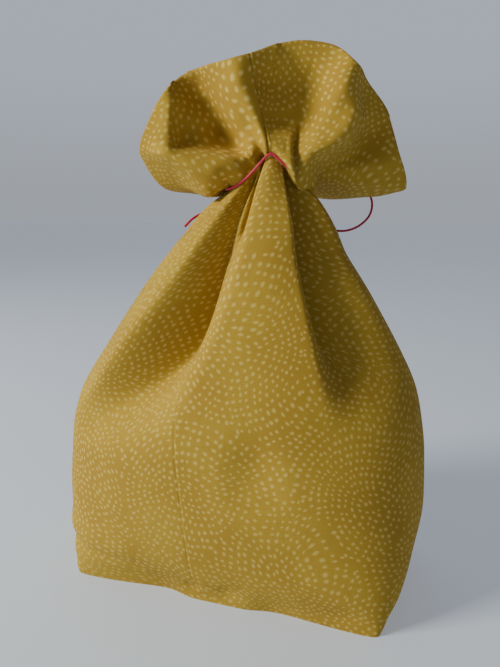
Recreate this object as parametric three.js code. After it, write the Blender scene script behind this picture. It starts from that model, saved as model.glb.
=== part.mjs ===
// A cloth gift pouch that stands on its boxed base, gathered at the neck and tied with a thin cord.
// Frame: millimetres, +Z up, origin at the middle of the base, front of the pouch towards -Y.
// An azimuth is measured about +Z from the front, positive towards +X.
// A share is a place round the gathered neck, from 0 at the cloth's upright seam to 1 back at the seam.
// A line is a mesh line up the cloth: 0 runs along the first fold, 1 along the second, and so on.
import * as THREE from "three";

// Driving sizes, in millimetres and degrees
const CLOTH = 1.2;
const BASE_LENGTH = 194;
const BASE_DEPTH = 102;
const TIE_HEIGHT = 255;
const NECK_X = 16;
const NECK_Y = 2;
const FACE_DEG = 17;
const CORD = 1.6;
const GAP = 0.3;
const SEAM_DEG = 18;
const BODY_BANDS = 27;
const RUFFLE_BANDS = 12;

// Cross-sections of the body, from the base to the tie
const SECTIONS = table(
  ["height", "halfWidth", "halfDepth", "squareness", "centreX", "centreY"],
  [
    [0, BASE_LENGTH / 2, BASE_DEPTH / 2, 30, 0, 0],
    [8, 101, 53, 11, 0, 0],
    [18, 107, 56.5, 5.5, 0, 0],
    [41, 112.5, 60.5, 3.4, 0, 0],
    [63, 115.5, 62.5, 2.7, 0, 0],
    [92, 114.5, 63, 2.4, 0, 0],
    [113, 110, 62, 2.25, 1, 0],
    [131, 103, 59.5, 2.2, 3.5, 0],
    [149, 93, 56, 2.15, 5.5, 0],
    [181, 72, 47.5, 2.1, 8, 0],
    [208, 53.5, 38.5, 2.05, 10, 0.5],
    [224, 47, 32, 2, 11.5, 1],
    [239, 38.5, 25, 2, 13, NECK_Y],
    [250, 29, 18.5, 2, 15, NECK_Y],
    [253, 25, 16.4, 2, 15.6, NECK_Y],
    [TIE_HEIGHT, 23, 15.5, 2, NECK_X, NECK_Y],
  ],
);

// Valleys between the folds: their azimuth at the base, at the foot, halfway up and at the tie, the height
// of the foot, the angle they take to the left and right, their depth as a part of the section's radius,
// and the mesh columns from each to the next
const CORNER_DEG = THREE.MathUtils.radToDeg(Math.atan2(BASE_LENGTH, BASE_DEPTH));
const FOLD_COLUMNS = [
  "baseDeg", "footDeg", "middleDeg", "neckDeg", "footHeight", "leftDeg", "rightDeg", "middleDepth",
  "neckDepth", "columns",
];
const FOLDS = table(FOLD_COLUMNS, [
  [-CORNER_DEG, -66, -41, -22, 84, 12, 40, 0.6, 0.42, 11],
  [-7, -10, -6, 2, 200, 13, 13, 0.3, 0.5, 12],
  [CORNER_DEG, 66, 60, 58, 112, 16, 28, 0.38, 0.44, 9],
  [180 - CORNER_DEG, 108, 104, 104, 215, 18, 18, 0.15, 0.28, 8],
  [152, 156, 150, 150, 130, 24, 24, 0.3, 0.4, 9],
  [207, 202, 198, 196, 105, 24, 24, 0.32, 0.4, 8],
  [180 + CORNER_DEG, 241, 243, 243, 135, 24, 24, 0.3, 0.4, 9],
  [272, 285, 286, 287, 215, 18, 18, 0.15, 0.28, 10],
]);
// A crest beside the deepest fold, given like a valley of negative depth and no columns of its own
const CRESTS = table(FOLD_COLUMNS, [[-CORNER_DEG, -64, -56, -50, 70, 16, 10, -0.05, 0, 0]]);

// Slack places low on the walls: azimuth, height, the angle and height they take, and depth inwards
const DENTS = table(
  ["deg", "height", "spanDeg", "spanHeight", "depth"],
  [
    [-38, 0, 24, 34, 5],
    [41, 0, 24, 34, 4],
    [90, 0, 22, 30, 2.5],
    [146, 0, 24, 34, 4],
    [217, 0, 24, 34, 3.5],
    [270, 0, 22, 30, 2.5],
    [22, 92, 18, 30, 2.5],
  ],
);

// The tie climbs to a peak in front and a lower one behind, each rounded off, and drops at its sides
const LIFT_DEG = 22;
const LIFT_FRONT = 6;
const LIFT_BACK = -3;
const LIFT_SIDES = -12;
const LIFT_ROUND = 0.12;
const LIFT_FROM = 195;

// The ruffle's rim, seen square on to its face: share, then how far it lies across to the right,
// forward and above the tie
const RIM = table(
  ["share", "across", "forward", "rise"],
  [
    [-0.306, -50, -39, -12.5],
    [-0.268, -65, -24, -10],
    [-0.22, -74, -8, 6],
    [-0.192, -73, -4, 14],
    [-0.159, -65, -3, 32],
    [-0.136, -58, -1, 42],
    [-0.099, -51, -7, 49],
    [-0.075, -43, -8, 52.5],
    [-0.049, -34, 4, 53.5],
    [-0.02, -21, 14, 54.5],
    [0, -10, 15, 57.5],
    [0.03, 6, 11, 64],
    [0.057, 20, 9, 66],
    [0.09, 36, 11, 63],
    [0.14, 45.5, 15, 53],
    [0.173, 57, 0, 46],
    [0.206, 70, -6, 32],
    [0.251, 78, -4, 8],
    [0.28, 84, -10, -4],
    [0.292, 85.5, -14, -11.5],
    [0.303, 81, -18, -13.5],
    [0.342, 66, -25, -16],
    [0.413, 30, -46, -14],
    [0.457, 20, -52, 8],
    [0.503, 4, -44, 30],
    [0.548, -12, -50, 24],
    [0.597, -26, -46, 6],
    [0.648, -37, -45, -12],
  ],
);
// The ruffle leaves the tie upwards and outwards before it runs straight to its rim
const RUFFLE_UP = 0.56;
const RUFFLE_OUT = 0.42;

// Crests on the ruffle's face, and hollows where the push is negative, seen square on: their places across
// and above the tie, the push forward, and how far they reach left and right of the way they run
const RUFFLE_LINES = table(
  ["places", "push", "left", "right"],
  [
    [[[-11, 3], [-34, 6], [-55, 9], [-57, 26], [-57, 34], [-54, 42]], 10, 17, 4],
    [[[-10, 8], [-26, 25], [-41, 46]], -14, 20, 9],
    [[[-30, 11], [-48, 13]], -6, 4, 9],
    [[[-6, 10], [-15, 25], [-21, 40], [-18, 52]], 5, 9, 14],
    [[[4, 12], [3, 26], [4, 42]], -12, 12, 20],
    [[[6, 3], [24, 4], [37, 8], [46, 16], [50, 26], [49, 38], [49, 52]], 13, 14, 4],
    [[[14, -6], [18, 6], [22, 20]], 8, 6, 6],
    [[[18, -4], [34, 0], [50, 8], [62, 20]], -8, 4, 12],
    [[[24, -6], [69, 0]], 4, 10, 10],
    [[[-72, 12], [-54, 5], [-34, -4]], 9, 12, 4.5],
  ],
);
// They fade out round the sides of the ruffle, in shares, and down towards the tie
const FACE_SHARE = 0.28;
const FACE_FADE = 0.08;
const PUSH_FROM = 0.28;
const CREST_ROUND = 1.5;
const CREST_FALL = 1.5;

// The tie's knot, behind the neck
const KNOT_DEG = FACE_DEG + 180;
const KNOT_WIDE = 5.6;
const KNOT_DEEP = 4.2;
const KNOT_TALL = 4.8;
const KNOT_SIDES = 16;
const KNOT_RINGS = 10;

// Routes of the cord beyond the knot, chosen by hand: across, forward of the neck's middle and rise
const LOOP_ROUTE = [
  [2.9, -20.3, -2.9],
  [7, -27, -7],
  [13, -39, -10],
  [24, -52, -9],
  [40, -58, -5],
  [55, -54, -4],
  [66, -46, -9],
  [70.5, -40, -18],
  [69, -37, -26.5],
  [62, -34, -33.5],
  [52, -32, -37],
  [40, -31, -35.5],
  [30, -31, -30.5],
  [18, -28, -21.5],
  [9, -25, -13.5],
  [2, -20.5, -5.3],
];
const LEFT_ROUTE = [
  [-2.9, -20.3, -2.9],
  [-10, -24, -6],
  [-20, -27, -13],
  [-30, -27, -20],
  [-39, -24, -25],
  [-46, -20, -29],
  [-51, -17, -34],
];
const BACK_ROUTE = [
  [0, -21, -5.1],
  [-2, -25, -10.5],
  [-5, -31, -20],
  [-8, -38, -33],
  [-10, -44, -48],
  [-9, -48.5, -62],
];
const ROUTE_STEP = 2.5;
const CORD_SIDES = 8;

const CLOTH_LOOK = new THREE.MeshStandardMaterial({ color: 0xb48f2c, roughness: 0.9, metalness: 0 });
const CORD_LOOK = new THREE.MeshStandardMaterial({ color: 0xa3122b, roughness: 0.45, metalness: 0 });

// Rows of numbers as objects with named columns
function table(names, rows) {
  return rows.map((row) => Object.fromEntries(names.map((name, k) => [name, row[k]])));
}

function radians(degrees) {
  return THREE.MathUtils.degToRad(degrees);
}

function ease(x) {
  return THREE.MathUtils.smoothstep(x, 0, 1);
}

// Value and slope weights of a cubic between two knots
function hermite(t) {
  return [2 * t ** 3 - 3 * t ** 2 + 1, t ** 3 - 2 * t ** 2 + t, 3 * t ** 2 - 2 * t ** 3, t ** 3 - t ** 2];
}

// Monotone cubic through one column of the sections
function sectionValue(column, height) {
  const x = SECTIONS.map((row) => row.height);
  const y = SECTIONS.map((row) => row[column]);
  const step = x.slice(1).map((v, i) => v - x[i]);
  const rise = step.map((h, i) => (y[i + 1] - y[i]) / h);
  const slope = y.map((_, i) => {
    if (i === 0) return rise[0];
    if (i === y.length - 1) return rise[i - 1];
    if (rise[i - 1] * rise[i] <= 0) return 0;
    const before = 2 * step[i] + step[i - 1];
    const after = step[i] + 2 * step[i - 1];
    return (before + after) / (before / rise[i - 1] + after / rise[i]);
  });
  let i = 0;
  while (i < x.length - 2 && height > x[i + 1]) i += 1;
  const [a, b, c, d] = hermite((height - x[i]) / step[i]);
  return a * y[i] + b * step[i] * slope[i] + c * y[i + 1] + d * step[i] * slope[i + 1];
}

// Radius of the smooth outline of a section, without its folds
function outline(section, azimuth) {
  const across = Math.abs(Math.sin(azimuth) / section.halfWidth) ** section.squareness;
  const along = Math.abs(Math.cos(azimuth) / section.halfDepth) ** section.squareness;
  return (across + along) ** (-1 / section.squareness);
}

const sectionStore = new Map();

function sectionAt(height) {
  if (!sectionStore.has(height)) {
    const columns = Object.keys(SECTIONS[0]).filter((name) => name !== "height");
    sectionStore.set(height, Object.fromEntries(columns.map((name) => [name, sectionValue(name, height)])));
  }
  return sectionStore.get(height);
}

// How far up its own length a fold is at a height: 0 at its foot and below, 1 at the tie
function foldPart(fold, height) {
  return THREE.MathUtils.clamp((height - fold.footHeight) / (TIE_HEIGHT - fold.footHeight), 0, 1);
}

// Azimuth of a fold's valley, carried on below its foot to the base
function foldDegrees(fold, height) {
  if (height < fold.footHeight) {
    return THREE.MathUtils.lerp(fold.baseDeg, fold.footDeg, ease(height / fold.footHeight));
  }
  const up = foldPart(fold, height);
  return fold.footDeg * (1 - up) * (1 - 2 * up) + fold.middleDeg * 4 * up * (1 - up)
    + fold.neckDeg * up * (2 * up - 1);
}

// Angle from one azimuth to another, within half a turn
function turnFrom(fromDeg, azimuth) {
  return THREE.MathUtils.euclideanModulo(THREE.MathUtils.radToDeg(azimuth) - fromDeg + 180, 360) - 180;
}

// A round bump of height 1 that falls to 0 at a reach of 1
function swell(reach) {
  return Math.cos((Math.min(Math.abs(reach), 1) * Math.PI) / 2) ** 2;
}

// How far the folds cut into the section, as a part of its radius
function foldCut(height, azimuth) {
  let cut = 0;
  for (const fold of [...FOLDS, ...CRESTS]) {
    const up = foldPart(fold, height);
    const turn = turnFrom(foldDegrees(fold, height), azimuth);
    const depth = fold.middleDepth * ease(2 * up) + (fold.neckDepth - fold.middleDepth) * ease(2 * up - 1);
    cut += depth * swell(turn / (turn < 0 ? fold.leftDeg : fold.rightDeg));
  }
  return cut;
}

// How far the slack places lie inside the section, in millimetres
function dentDepth(height, azimuth) {
  let depth = 0;
  for (const dent of DENTS) {
    depth += dent.depth * swell(turnFrom(dent.deg, azimuth) / dent.spanDeg)
      * swell((height - dent.height) / dent.spanHeight);
  }
  return depth;
}

// How much higher than its mean the tie lies at an azimuth
function tieLift(azimuth) {
  const turn = azimuth - radians(LIFT_DEG);
  const top = Math.cos(turn) > 0 ? LIFT_FRONT : LIFT_BACK;
  const fall = (aside) => Math.hypot(aside, LIFT_ROUND) - LIFT_ROUND;
  return THREE.MathUtils.lerp(top, LIFT_SIDES, fall(Math.sin(turn)) / fall(1));
}

// Azimuth of a mesh line, which keeps its place between the two folds beside it
function lineAzimuth(line, height) {
  const wrapped = THREE.MathUtils.euclideanModulo(line, FOLDS.length);
  const first = Math.floor(wrapped);
  const second = (first + 1) % FOLDS.length;
  const from = foldDegrees(FOLDS[first], height);
  const to = foldDegrees(FOLDS[second], height) + (second === 0 ? 360 : 0);
  return radians(THREE.MathUtils.lerp(from, to, wrapped - first));
}

function bodyPoint(azimuth, height) {
  const section = sectionAt(height);
  const radius = outline(section, azimuth) * (1 - foldCut(height, azimuth)) - dentDepth(height, azimuth);
  const lift = tieLift(azimuth) * ease((height - LIFT_FROM) / (TIE_HEIGHT - LIFT_FROM));
  return new THREE.Vector3(
    section.centreX + radius * Math.sin(azimuth),
    section.centreY - radius * Math.cos(azimuth),
    height + lift,
  );
}

const NECK_STEPS = 720;

// Length along the neck's smooth outline from the seam round to an azimuth, as a part of the whole
function neckShare(azimuth) {
  const section = sectionAt(TIE_HEIGHT);
  const turn = THREE.MathUtils.euclideanModulo(azimuth - radians(SEAM_DEG), 2 * Math.PI);
  const lengthTo = (angle) => {
    let length = 0;
    const step = angle / NECK_STEPS;
    for (let k = 0; k < NECK_STEPS; k += 1) {
      length += outline(section, radians(SEAM_DEG) + (k + 0.5) * step) * step;
    }
    return length;
  };
  return lengthTo(turn) / lengthTo(2 * Math.PI);
}

// A point given across, forward and above the tie, in the frame turned to the ruffle's face
function facePoint(across, forward, rise) {
  const turn = radians(FACE_DEG);
  return new THREE.Vector3(
    NECK_X + across * Math.cos(turn) + forward * Math.sin(turn),
    NECK_Y + across * Math.sin(turn) - forward * Math.cos(turn),
    TIE_HEIGHT + rise,
  );
}

// The rim as a smooth closed curve through its rows
function rimPoint(share) {
  const count = RIM.length;
  const at = (k) => {
    const row = RIM[THREE.MathUtils.euclideanModulo(k, count)];
    return { share: row.share + Math.floor(k / count), point: facePoint(row.across, row.forward, row.rise) };
  };
  const wanted = RIM[0].share + THREE.MathUtils.euclideanModulo(share - RIM[0].share, 1);
  let k = 0;
  while (at(k + 1).share <= wanted) k += 1;
  const [before, from, to, after] = [at(k - 1), at(k), at(k + 1), at(k + 2)];
  const span = to.share - from.share;
  const slopeFrom = to.point.clone().sub(before.point).divideScalar(to.share - before.share);
  const slopeTo = after.point.clone().sub(from.point).divideScalar(after.share - from.share);
  const [a, b, c, d] = hermite((wanted - from.share) / span);
  return new THREE.Vector3()
    .addScaledVector(from.point, a)
    .addScaledVector(slopeFrom, b * span)
    .addScaledVector(to.point, c)
    .addScaledVector(slopeTo, d * span);
}

// How far the crests and hollows push a spot of the ruffle's face forward
function rufflePush(spot) {
  let push = 0;
  for (const line of RUFFLE_LINES) {
    let nearest = Infinity;
    let side = 0;
    for (let k = 0; k + 1 < line.places.length; k += 1) {
      const from = new THREE.Vector2(...line.places[k]);
      const run = new THREE.Vector2(...line.places[k + 1]).sub(from);
      const gap = spot.clone().sub(from);
      gap.addScaledVector(run, -THREE.MathUtils.clamp(gap.dot(run) / run.lengthSq(), 0, 1));
      if (gap.length() < nearest) {
        nearest = gap.length();
        side = run.cross(gap);
      }
    }
    const reach = side > 0 ? line.left : line.right;
    const away = Math.hypot(nearest, CREST_ROUND) - CREST_ROUND;
    push += line.push * Math.exp(-((away / reach) ** CREST_FALL));
  }
  return push;
}

// A point of the ruffle, from 0 at the tie to 1 at the rim
function rufflePoint(azimuth, part) {
  const share = neckShare(azimuth);
  const from = bodyPoint(azimuth, TIE_HEIGHT);
  const to = rimPoint(share);
  const chord = to.clone().sub(from);
  const start = new THREE.Vector3(
    RUFFLE_OUT * Math.sin(azimuth),
    -RUFFLE_OUT * Math.cos(azimuth),
    RUFFLE_UP,
  ).multiplyScalar(chord.length());
  const [a, b, c, d] = hermite(part);
  const point = new THREE.Vector3()
    .addScaledVector(from, a)
    .addScaledVector(start, b)
    .addScaledVector(to, c)
    .addScaledVector(chord, d);
  const turn = radians(FACE_DEG);
  const across = (point.x - NECK_X) * Math.cos(turn) + (point.y - NECK_Y) * Math.sin(turn);
  const fromSeam = Math.abs(THREE.MathUtils.euclideanModulo(share + 0.5, 1) - 0.5);
  const shown = (1 - ease((fromSeam - FACE_SHARE) / FACE_FADE)) * ease(part / PUSH_FROM);
  const push = shown * rufflePush(new THREE.Vector2(across, point.z - TIE_HEIGHT));
  return point.add(new THREE.Vector3(push * Math.sin(turn), -push * Math.cos(turn), 0));
}

// The cloth's outer face: along runs from 0 at the base's edge through 1 at the tie to 2 at the rim
function clothPoint(line, along) {
  const height = TIE_HEIGHT * THREE.MathUtils.clamp(along, 0, 1);
  const azimuth = lineAzimuth(line, height);
  return along <= 1 ? bodyPoint(azimuth, height) : rufflePoint(azimuth, Math.min(along - 1, 1));
}

const LINE_STEP = 0.02;
const ALONG_STEP = 2e-3;

// Outward direction of the cloth, from its neighbours on both sides
function clothNormal(line, along) {
  const round = clothPoint(line + LINE_STEP, along).sub(clothPoint(line - LINE_STEP, along));
  const up = clothPoint(line, along + ALONG_STEP).sub(clothPoint(line, along - ALONG_STEP));
  return round.cross(up).normalize();
}

// Mesh lines, one on each fold and the rest spread evenly between them
function meshLines() {
  return FOLDS.flatMap((fold, k) => Array.from({ length: fold.columns }, (_, j) => k + j / fold.columns));
}

const BODY_CROWDING = 0.75;
const RUFFLE_CROWDING = 1.2;

// Places of the mesh rows, closer together near the base and the tie
function rowPlaces() {
  const places = [];
  for (let k = 0; k <= BODY_BANDS; k += 1) {
    const part = k / BODY_BANDS;
    places.push(part - (BODY_CROWDING * Math.sin(2 * Math.PI * part)) / (2 * Math.PI));
  }
  for (let k = 1; k <= RUFFLE_BANDS; k += 1) {
    places.push(1 + (k / RUFFLE_BANDS) ** RUFFLE_CROWDING);
  }
  return places;
}

// One closed sheet: outer face, inner face, rim between them, and the flat base
function pouchCloth() {
  const lines = meshLines();
  const places = rowPlaces();
  const count = lines.length;
  const outer = [];
  const inner = [];
  for (const along of places) {
    for (const line of lines) {
      const point = clothPoint(line, along);
      const normal = clothNormal(line, along);
      const within = point.clone().addScaledVector(normal, -CLOTH);
      if (along === 0) {
        normal.setZ(0).normalize();
        within.copy(point).addScaledVector(normal, -CLOTH).setZ(CLOTH);
      }
      outer.push(point);
      inner.push(within);
    }
  }
  const positions = [...outer, ...inner].flatMap((p) => p.toArray());
  const faces = [];
  const quad = (a, b, c, d) => faces.push(a, b, c, a, c, d);
  const shift = outer.length;
  for (let row = 0; row + 1 < places.length; row += 1) {
    for (let column = 0; column < count; column += 1) {
      const next = (column + 1) % count;
      const [a, b] = [row * count + column, row * count + next];
      const [c, d] = [b + count, a + count];
      quad(a, b, c, d);
      quad(shift + b, shift + a, shift + d, shift + c);
    }
  }
  const top = (places.length - 1) * count;
  for (let column = 0; column < count; column += 1) {
    const next = (column + 1) % count;
    quad(top + column, top + next, shift + top + next, shift + top + column);
  }
  const base = outer.slice(0, count).map((p) => new THREE.Vector2(p.x, p.y));
  for (const [a, b, c] of THREE.ShapeUtils.triangulateShape(base, [])) {
    faces.push(a, c, b);
    faces.push(shift + a, shift + b, shift + c);
  }
  const geometry = new THREE.BufferGeometry();
  geometry.setAttribute("position", new THREE.Float32BufferAttribute(positions, 3));
  geometry.setIndex(faces);
  geometry.computeVertexNormals();
  return geometry;
}

// A round cord along a route
function cordAlong(points) {
  const route = new THREE.CatmullRomCurve3(points, false, "centripetal");
  const section = new THREE.Shape();
  for (let k = 0; k < CORD_SIDES; k += 1) {
    const angle = (2 * Math.PI * k) / CORD_SIDES;
    const [x, y] = [(CORD / 2) * Math.cos(angle), (CORD / 2) * Math.sin(angle)];
    if (k === 0) section.moveTo(x, y);
    else section.lineTo(x, y);
  }
  const steps = Math.ceil(route.getLength() / (ROUTE_STEP * CORD));
  return new THREE.ExtrudeGeometry(section, { steps, extrudePath: route, bevelEnabled: false });
}

// The band's middle line at an azimuth, drawn tight over the folds
const BAND_CLEAR = 3 * GAP;

function bandPoint(azimuth) {
  const section = sectionAt(TIE_HEIGHT);
  const radius = outline(section, azimuth) + BAND_CLEAR + CORD / 2;
  return new THREE.Vector3(
    NECK_X + radius * Math.sin(azimuth),
    NECK_Y - radius * Math.cos(azimuth),
    TIE_HEIGHT + tieLift(azimuth),
  );
}

function knotCentre() {
  const azimuth = radians(KNOT_DEG);
  const point = bandPoint(azimuth);
  const out = (KNOT_DEEP - CORD) / 2;
  return point.add(new THREE.Vector3(out * Math.sin(azimuth), -out * Math.cos(azimuth), 0));
}

// The band leaves the knot on one side and comes back to it on the other
const BAND_POINTS = 40;
const BAND_START_DEG = 10;

function bandRoute() {
  const points = [];
  for (let k = 0; k <= BAND_POINTS; k += 1) {
    const turn = BAND_START_DEG + ((360 - 2 * BAND_START_DEG) * k) / BAND_POINTS;
    points.push(bandPoint(radians(KNOT_DEG + turn)));
  }
  return points;
}

function faceRoute(rows) {
  return rows.map(([across, forward, rise]) => facePoint(across, forward, rise));
}

const group = new THREE.Group();

function addPiece(name, geometry, material) {
  const mesh = new THREE.Mesh(geometry, material);
  mesh.name = name;
  group.add(mesh);
  return mesh;
}

addPiece("pouch_cloth", pouchCloth(), CLOTH_LOOK);
addPiece("tie_band", cordAlong(bandRoute()), CORD_LOOK);

const knot = addPiece("tie_knot", new THREE.SphereGeometry(0.5, KNOT_SIDES, KNOT_RINGS), CORD_LOOK);
knot.scale.set(KNOT_WIDE, KNOT_DEEP, KNOT_TALL);
knot.rotation.z = radians(FACE_DEG);
knot.position.copy(knotCentre());

addPiece("tie_loop", cordAlong(faceRoute(LOOP_ROUTE)), CORD_LOOK);
addPiece("tie_end_left", cordAlong(faceRoute(LEFT_ROUTE)), CORD_LOOK);
addPiece("tie_end_back", cordAlong(faceRoute(BACK_ROUTE)), CORD_LOOK);

export default group;
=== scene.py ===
"""A cotton gift pouch, gathered and tied at the neck, dressed for its studio picture.

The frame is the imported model: metres, +Z up, the front of the pouch towards -Y. Sizes of cloth and cord
are written in millimetres and degrees, and become metres where a mesh is made. An azimuth is measured
about +Z from the front, positive towards +X. A share is a place round the cloth, from 0 at its upright
seam to 1 back at the seam.
"""

import logging
import math
from collections.abc import Sequence
from dataclasses import dataclass
from enum import Enum

import bpy
import numpy as np
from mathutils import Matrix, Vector
from numpy.linalg import norm

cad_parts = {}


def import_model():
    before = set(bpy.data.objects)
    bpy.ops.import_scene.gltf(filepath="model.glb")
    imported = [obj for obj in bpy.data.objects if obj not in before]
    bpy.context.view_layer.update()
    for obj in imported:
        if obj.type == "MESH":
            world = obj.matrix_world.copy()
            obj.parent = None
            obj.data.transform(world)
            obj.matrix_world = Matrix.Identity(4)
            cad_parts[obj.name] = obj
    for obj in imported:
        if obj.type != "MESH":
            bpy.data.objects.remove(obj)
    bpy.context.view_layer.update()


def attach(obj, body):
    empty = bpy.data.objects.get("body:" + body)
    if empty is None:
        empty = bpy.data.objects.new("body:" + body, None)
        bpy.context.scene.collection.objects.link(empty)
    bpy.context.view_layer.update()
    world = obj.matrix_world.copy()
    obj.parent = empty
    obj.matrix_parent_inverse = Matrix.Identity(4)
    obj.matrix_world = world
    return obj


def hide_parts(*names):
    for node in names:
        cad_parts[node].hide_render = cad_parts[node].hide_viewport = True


LOG = logging.getLogger("gift_pouch")
MM = 0.001
TURN = 2 * math.pi
UP = np.array([0.0, 0.0, 1.0])
BODY = "root"
CLOTH_MAP = "cloth"
Array = np.ndarray
Pair = tuple[float, float]
Triple = tuple[float, float, float]
Colour = tuple[float, float, float, float]


class Side(Enum):
    """The two sides of the printed cotton, by their place in the mesh's materials."""

    FACE = 0
    WRONG = 1


@dataclass(frozen=True)
class PouchSizes:
    """Driving sizes of the pouch."""

    base_length: float = 194.0
    base_depth: float = 102.0
    tie_height: float = 255.0
    neck_x: float = 16.0
    neck_y: float = 2.0
    face_deg: float = 17.0
    cloth_round: float = 590.0
    cloth_tall: float = 390.0
    boxed_corners: float = 7500.0
    thickness: float = 0.5
    cord: float = 1.6
    band_clear: float = 0.9


@dataclass(frozen=True)
class Section:
    """One level cross-section of the body, and where the seam crosses it."""

    height: float
    half_width: float
    half_depth: float
    squareness: float
    centre_x: float
    centre_y: float
    seam_deg: float


@dataclass(frozen=True)
class Fold:
    """A valley between two folds of the body, from its foot up to the tie."""

    foot_deg: float
    middle_deg: float
    neck_deg: float
    foot_height: float
    left_deg: float
    right_deg: float
    middle_depth: float
    neck_depth: float

    def up(self, height: float) -> float:
        """How far up the valley a height lies, from 0 at its foot to 1 at the tie."""
        return np.clip((height - self.foot_height) / (SIZES.tie_height - self.foot_height), 0, 1)

    def deg(self, height: float) -> float:
        """Azimuth of the valley.

        Args:
            height: Height above the base.

        Returns:
            The azimuth in degrees.
        """
        up = self.up(height)
        return (
            self.foot_deg * (1 - up) * (1 - 2 * up)
            + self.middle_deg * 4 * up * (1 - up)
            + self.neck_deg * up * (2 * up - 1)
        )

    def cut(self, height: float, azimuth: Array) -> Array:
        """How far the valley cuts into a section.

        Args:
            height: Height above the base.
            azimuth: Places round the section.

        Returns:
            The depth at each place, as a part of the section's radius.
        """
        up = self.up(height)
        depth = self.middle_depth * ease(2 * up) + (self.neck_depth - self.middle_depth) * ease(2 * up - 1)
        turn = aside(azimuth, self.deg(height))
        return depth * swell(turn / np.where(turn < 0, self.left_deg, self.right_deg))


@dataclass(frozen=True)
class Slack:
    """A slack place about an azimuth and a level, where the cloth moves outwards by out and sags by down.

    Its level is a height on the body, or a part of the ruffle's length.
    """

    deg: float
    level: float
    span_deg: float
    span_level: float
    out: float
    down: float = 0.0

    def felt(self, azimuth: Array, level: float) -> Array:
        """How much of it is felt at azimuths on a level, from 0 to 1."""
        beside = swell(aside(azimuth, self.deg) / self.span_deg)
        return beside * swell((level - self.level) / self.span_level)


@dataclass(frozen=True)
class RimPlace:
    """A place on the ruffle's rim, seen square on to its face."""

    share: float
    across: float
    forward: float
    rise: float


@dataclass(frozen=True)
class RuffleLine:
    """A crest, or a hollow where push is negative, drawn on the ruffle seen square on to its face.

    Its places are given across to the right and above the tie, and its reach to the left and right of the
    way that it runs.
    """

    places: tuple[Pair, ...]
    push: float
    left: float
    right: float


@dataclass(frozen=True)
class Crease:
    """A soft trough, or a ridge where depth is negative, between two places on the body."""

    start_deg: float
    start_height: float
    end_deg: float
    end_height: float
    width: float
    depth: float


def table(kind: type, *rows: tuple) -> tuple:
    """A table whose rows are of one kind."""
    return tuple(kind(*row) for row in rows)


SIZES = PouchSizes()

SECTIONS = table(
    Section,
    (0, SIZES.base_length / 2, SIZES.base_depth / 2, 30, 0, 0, -6.5),
    (8, 101, 53, 11, 0, 0, -10),
    (18, 107, 56.5, 5.5, 0, 0, -12),
    (41, 112.5, 60.5, 3.4, 0, 0, -12.8),
    (63, 115.5, 62.5, 2.7, 0, 0, -13.8),
    (92, 114.5, 63, 2.4, 0, 0, -16),
    (113, 110, 62, 2.25, 1, 0, -17.6),
    (131, 103, 59.5, 2.2, 3.5, 0, -18.5),
    (149, 93, 56, 2.15, 5.5, 0, -18),
    (181, 72, 47.5, 2.1, 8, 0, -13),
    (208, 53.5, 38.5, 2.05, 10, 0.5, -2),
    (224, 47, 32, 2, 11.5, 1, 5),
    (239, 38.5, 25, 2, 13, SIZES.neck_y, 12),
    (250, 29, 18.5, 2, 15, SIZES.neck_y, 17),
    (253, 25, 16.4, 2, 15.6, SIZES.neck_y, 17.7),
    (SIZES.tie_height, 23, 15.5, 2, SIZES.neck_x, SIZES.neck_y, 18),
)

FOLDS = table(
    Fold,
    (-66, -41, -22, 84, 12, 40, 0.6, 0.42),
    (-10, -6, 2, 200, 13, 13, 0.3, 0.5),
    (66, 60, 58, 112, 16, 28, 0.38, 0.44),
    (108, 104, 104, 215, 18, 18, 0.15, 0.28),
    (156, 150, 150, 130, 24, 24, 0.3, 0.4),
    (202, 198, 196, 105, 24, 24, 0.32, 0.4),
    (241, 243, 243, 135, 24, 24, 0.3, 0.4),
    (285, 286, 287, 215, 18, 18, 0.15, 0.28),
)

# A low ridge beside the deepest fold.
RIDGES = table(Fold, (-64, -56, -50, 70, 16, 10, -0.05, 0))

# Walls pressed in where they are slack.
DENTS = table(
    Slack,
    (-38, 0, 24, 34, -5),
    (41, 0, 24, 34, -4),
    (90, 0, 22, 30, -2.5),
    (146, 0, 24, 34, -4),
    (217, 0, 24, 34, -3.5),
    (270, 0, 22, 30, -2.5),
    (22, 92, 18, 30, -2.5),
)

RIM = table(
    RimPlace,
    (-0.306, -50, -39, -12.5), (-0.268, -65, -24, -10), (-0.22, -74, -8, 6),
    (-0.192, -73, -4, 14), (-0.159, -65, -3, 32), (-0.136, -58, -1, 42),
    (-0.099, -51, -7, 52), (-0.075, -43, -6, 55), (-0.049, -34, 4, 55),
    (-0.02, -21, 14, 54.5), (0, -10, 15, 57.5), (0.03, 6, 11, 64),
    (0.057, 20, 9, 66), (0.09, 36, 8, 63), (0.14, 46, 12, 53),
    (0.173, 57, 0, 46), (0.206, 70, -6, 32), (0.251, 78, -4, 8),
    (0.28, 84, -10, -4), (0.292, 85.5, -14, -11.5), (0.303, 81, -18, -13.5),
    (0.342, 66, -25, -16), (0.413, 30, -46, -14), (0.457, 20, -52, 8),
    (0.503, 4, -44, 30), (0.548, -12, -50, 24), (0.597, -26, -46, 6),
    (0.648, -37, -45, -12),
)

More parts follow.
